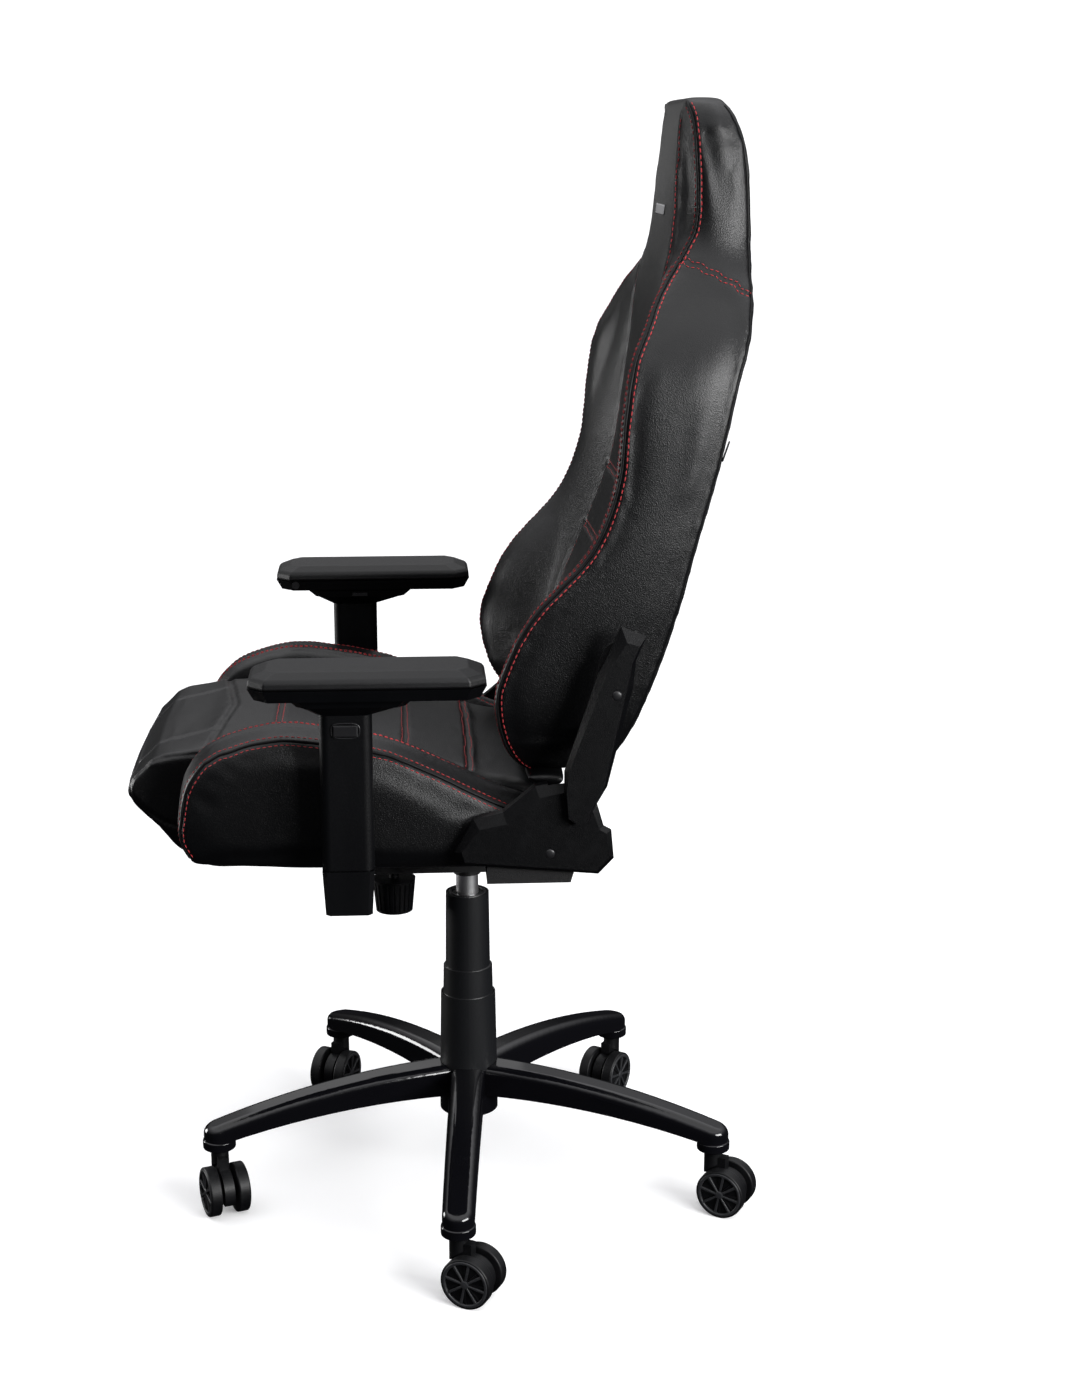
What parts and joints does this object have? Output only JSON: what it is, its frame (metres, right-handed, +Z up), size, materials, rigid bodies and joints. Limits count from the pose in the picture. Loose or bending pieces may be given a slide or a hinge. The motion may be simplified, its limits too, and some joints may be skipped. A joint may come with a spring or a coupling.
{
  "type": "gaming chair",
  "caption": "High-backed gaming chair with rocking seat, reclining winged back, adjustable armrests, lift column and castor star base.",
  "frame": {"origin": "on the floor, on the axis of the lift column", "axes": "+Z up; the chair faces -Y; its left side is at +X"},
  "size_m": [0.7197, 0.7615, 1.352],
  "materials": {
    "leather": "fine-grained black imitation leather, satin",
    "covers": "fine-textured black plastic",
    "pads": "soft-touch polyurethane",
    "column_cover": "satin black plastic sleeves",
    "gloss_base": "high-gloss black glass-filled nylon",
    "castor_plastic": "black nylon, satin",
    "chrome": "polished, hard-chromed",
    "black_steel": "black powder coat",
    "steel": "zinc-plated",
    "board": "black-stained plywood"
  },
  "bodies": {
    "base": {"base_hub": "gloss_base", "base_legs": "gloss_base", "gas_spring_tube": "black_steel", "column_cover_lower": "column_cover"},
    "middle_cover": {"column_cover_middle": "column_cover"},
    "lift_column": {"column_cover_upper": "column_cover"},
    "swivel_unit": {"gas_spring_piston": "chrome", "mechanism_housing": "black_steel", "tilt_axle": "steel"},
    "tension_knob": {"tension_knob": "covers"},
    "lever_bush": {"lift_lever_bush": "steel"},
    "lift_lever": {"lift_lever": "covers"},
    "seat_unit": {"seat_plate": "black_steel", "seat_pan": "board", "seat_cushion": "leather", "seat_bolsters": "leather", "recliner_lower_plates": "black_steel", "recliner_shaft": "steel", "wing_cover_left": "covers", "wing_cover_right": "covers", "arm_frames": "covers"},
    "back": {"recliner_upper_plates": "black_steel", "bracket_cover_left": "covers", "bracket_cover_right": "covers", "back_frame": "black_steel", "back_cushion": "leather"},
    "recline_lever": {"recline_lever": "covers"},
    "arm_left": {"arm_sleeve_left": "covers", "arm_mount_left": "covers"},
    "height_button_left": {"height_button_left": "covers"},
    "turn_left": {"turn_plate_left": "covers"},
    "turn_button_left": {"turn_button_left": "covers"},
    "cross_left": {"slide_plate_left": "covers"},
    "pad_left": {"pad_shell_left": "covers", "pad_cushion_left": "pads"},
    "pad_button_left": {"pad_button_left": "covers"},
    "arm_right": {"arm_sleeve_right": "covers", "arm_mount_right": "covers"},
    "height_button_right": {"height_button_right": "covers"},
    "turn_right": {"turn_plate_right": "covers"},
    "turn_button_right": {"turn_button_right": "covers"},
    "cross_right": {"slide_plate_right": "covers"},
    "pad_right": {"pad_shell_right": "covers", "pad_cushion_right": "pads"},
    "pad_button_right": {"pad_button_right": "covers"},
    "castor_1": {"castor_1_fork": "castor_plastic"},
    "castor_1_wheel_a": {"castor_1_wheel_a": "castor_plastic"},
    "castor_1_wheel_b": {"castor_1_wheel_b": "castor_plastic"},
    "castor_2": {"castor_2_fork": "castor_plastic"},
    "castor_2_wheel_a": {"castor_2_wheel_a": "castor_plastic"},
    "castor_2_wheel_b": {"castor_2_wheel_b": "castor_plastic"},
    "castor_3": {"castor_3_fork": "castor_plastic"},
    "castor_3_wheel_a": {"castor_3_wheel_a": "castor_plastic"},
    "castor_3_wheel_b": {"castor_3_wheel_b": "castor_plastic"},
    "castor_4": {"castor_4_fork": "castor_plastic"},
    "castor_4_wheel_a": {"castor_4_wheel_a": "castor_plastic"},
    "castor_4_wheel_b": {"castor_4_wheel_b": "castor_plastic"},
    "castor_5": {"castor_5_fork": "castor_plastic"},
    "castor_5_wheel_a": {"castor_5_wheel_a": "castor_plastic"},
    "castor_5_wheel_b": {"castor_5_wheel_b": "castor_plastic"}
  },
  "joints": [
    {"name": "lift", "type": "slide", "parent": "base", "child": "lift_column", "axis": [0, 0, 1], "range_m": [-0.08, 0.02]},
    {"name": "middle_cover_slide", "type": "slide", "parent": "base", "child": "middle_cover", "axis": [0, 0, 1], "range_m": [-0.04, 0.01]},
    {"name": "seat_swivel", "type": "hinge", "parent": "lift_column", "child": "swivel_unit", "pos_m": [0, 0, 0.42], "axis": [0, 0, 1], "continuous": true},
    {"name": "tilt", "type": "hinge", "parent": "swivel_unit", "child": "seat_unit", "pos_m": [0, -0.074, 0.446], "axis": [-1, 0, 0], "range_deg": [0, 18], "stiffness_Nm_per_rad": 160, "springref_deg": -31.51},
    {"name": "tension_knob_turn", "type": "hinge", "parent": "swivel_unit", "child": "tension_knob", "pos_m": [0, -0.092, 0.4], "axis": [0, 0, 1], "range_deg": [0, 720]},
    {"name": "lever_pull", "type": "slide", "parent": "swivel_unit", "child": "lever_bush", "axis": [-1, 0, 0], "range_m": [0, 0.012]},
    {"name": "lift_lever_raise", "type": "hinge", "parent": "lever_bush", "child": "lift_lever", "pos_m": [-0.057, -0.022, 0.44], "axis": [0, 1, 0], "range_deg": [0, 6], "stiffness_Nm_per_rad": 3, "springref_deg": -11.46},
    {"name": "recline", "type": "hinge", "parent": "seat_unit", "child": "back", "pos_m": [0, 0.12, 0.588], "axis": [-1, 0, 0], "range_deg": [0, 50]},
    {"name": "recline_lever_raise", "type": "hinge", "parent": "seat_unit", "child": "recline_lever", "pos_m": [-0.2889, 0.06, 0.545], "axis": [-1, 0, 0], "range_deg": [0, 22], "stiffness_Nm_per_rad": 2, "springref_deg": -17.19},
    {"name": "arm_height_left", "type": "slide", "parent": "seat_unit", "child": "arm_left", "axis": [0, 0, 1], "range_m": [0, 0.07]},
    {"name": "height_button_press_left", "type": "slide", "parent": "arm_left", "child": "height_button_left", "axis": [-1, 0, 0], "range_m": [0, 0.003], "stiffness_N_per_m": 500, "springref_m": -0.003},
    {"name": "arm_turn_left", "type": "hinge", "parent": "arm_left", "child": "turn_left", "pos_m": [0.3, -0.14, 0.71], "axis": [0, 0, 1], "range_deg": [-25, 25]},
    {"name": "turn_button_press_left", "type": "slide", "parent": "turn_left", "child": "turn_button_left", "axis": [1, 0, 0], "range_m": [0, 0.003], "stiffness_N_per_m": 500, "springref_m": -0.003},
    {"name": "arm_side_left", "type": "slide", "parent": "turn_left", "child": "cross_left", "axis": [1, 0, 0], "range_m": [-0.012, 0.012]},
    {"name": "arm_fore_aft_left", "type": "slide", "parent": "cross_left", "child": "pad_left", "axis": [0, 1, 0], "range_m": [-0.025, 0.025]},
    {"name": "pad_button_press_left", "type": "slide", "parent": "pad_left", "child": "pad_button_left", "axis": [1, 0, 0], "range_m": [0, 0.003], "stiffness_N_per_m": 500, "springref_m": -0.003},
    {"name": "arm_height_right", "type": "slide", "parent": "seat_unit", "child": "arm_right", "axis": [0, 0, 1], "range_m": [0, 0.07]},
    {"name": "height_button_press_right", "type": "slide", "parent": "arm_right", "child": "height_button_right", "axis": [1, 0, 0], "range_m": [0, 0.003], "stiffness_N_per_m": 500, "springref_m": -0.003},
    {"name": "arm_turn_right", "type": "hinge", "parent": "arm_right", "child": "turn_right", "pos_m": [-0.3, -0.14, 0.71], "axis": [0, 0, 1], "range_deg": [-25, 25]},
    {"name": "turn_button_press_right", "type": "slide", "parent": "turn_right", "child": "turn_button_right", "axis": [-1, 0, 0], "range_m": [0, 0.003], "stiffness_N_per_m": 500, "springref_m": -0.003},
    {"name": "arm_side_right", "type": "slide", "parent": "turn_right", "child": "cross_right", "axis": [1, 0, 0], "range_m": [-0.012, 0.012]},
    {"name": "arm_fore_aft_right", "type": "slide", "parent": "cross_right", "child": "pad_right", "axis": [0, 1, 0], "range_m": [-0.025, 0.025]},
    {"name": "pad_button_press_right", "type": "slide", "parent": "pad_right", "child": "pad_button_right", "axis": [-1, 0, 0], "range_m": [0, 0.003], "stiffness_N_per_m": 500, "springref_m": -0.003},
    {"name": "castor_1_swivel", "type": "hinge", "parent": "base", "child": "castor_1", "pos_m": [0.32421, -0.02267, 0.08], "axis": [0, 0, 1], "continuous": true},
    {"name": "castor_1_roll_a", "type": "hinge", "parent": "castor_1", "child": "castor_1_wheel_a", "pos_m": [0.33283, -0.00574, 0.031], "axis": [-0.891, 0.454, 0], "continuous": true},
    {"name": "castor_1_roll_b", "type": "hinge", "parent": "castor_1", "child": "castor_1_wheel_b", "pos_m": [0.33283, -0.00574, 0.031], "axis": [-0.891, 0.454, 0], "continuous": true},
    {"name": "castor_2_swivel", "type": "hinge", "parent": "base", "child": "castor_2", "pos_m": [0.12175, 0.30134, 0.08], "axis": [0, 0, 1], "continuous": true},
    {"name": "castor_2_roll_a", "type": "hinge", "parent": "castor_2", "child": "castor_2_wheel_a", "pos_m": [0.13125, 0.31779, 0.031], "axis": [-0.866, 0.5, 0], "continuous": true},
    {"name": "castor_2_roll_b", "type": "hinge", "parent": "castor_2", "child": "castor_2_wheel_b", "pos_m": [0.13125, 0.31779, 0.031], "axis": [-0.866, 0.5, 0], "continuous": true},
    {"name": "castor_3_swivel", "type": "hinge", "parent": "base", "child": "castor_3", "pos_m": [-0.24896, 0.20891, 0.08], "axis": [0, 0, 1], "continuous": true},
    {"name": "castor_3_roll_a", "type": "hinge", "parent": "castor_3", "child": "castor_3_wheel_a", "pos_m": [-0.23321, 0.19828, 0.031], "axis": [0.5592, 0.829, 0], "continuous": true},
    {"name": "castor_3_roll_b", "type": "hinge", "parent": "castor_3", "child": "castor_3_wheel_b", "pos_m": [-0.23321, 0.19828, 0.031], "axis": [0.5592, 0.829, 0], "continuous": true},
    {"name": "castor_4_swivel", "type": "hinge", "parent": "base", "child": "castor_4", "pos_m": [-0.27562, -0.17222, 0.08], "axis": [0, 0, 1], "continuous": true},
    {"name": "castor_4_roll_a", "type": "hinge", "parent": "castor_4", "child": "castor_4_wheel_a", "pos_m": [-0.2584, -0.18025, 0.031], "axis": [0.4226, 0.9063, 0], "continuous": true},
    {"name": "castor_4_roll_b", "type": "hinge", "parent": "castor_4", "child": "castor_4_wheel_b", "pos_m": [-0.2584, -0.18025, 0.031], "axis": [0.4226, 0.9063, 0], "continuous": true},
    {"name": "castor_5_swivel", "type": "hinge", "parent": "base", "child": "castor_5", "pos_m": [0.07863, -0.31535, 0.08], "axis": [0, 0, 1], "continuous": true},
    {"name": "castor_5_roll_a", "type": "hinge", "parent": "castor_5", "child": "castor_5_wheel_a", "pos_m": [0.09648, -0.30885, 0.031], "axis": [-0.342, 0.9397, 0], "continuous": true},
    {"name": "castor_5_roll_b", "type": "hinge", "parent": "castor_5", "child": "castor_5_wheel_b", "pos_m": [0.09648, -0.30885, 0.031], "axis": [-0.342, 0.9397, 0], "continuous": true}
  ],
  "couplings": [
    {"joint": "middle_cover_slide", "follows": "lift", "ratio": 0.5}
  ]
}
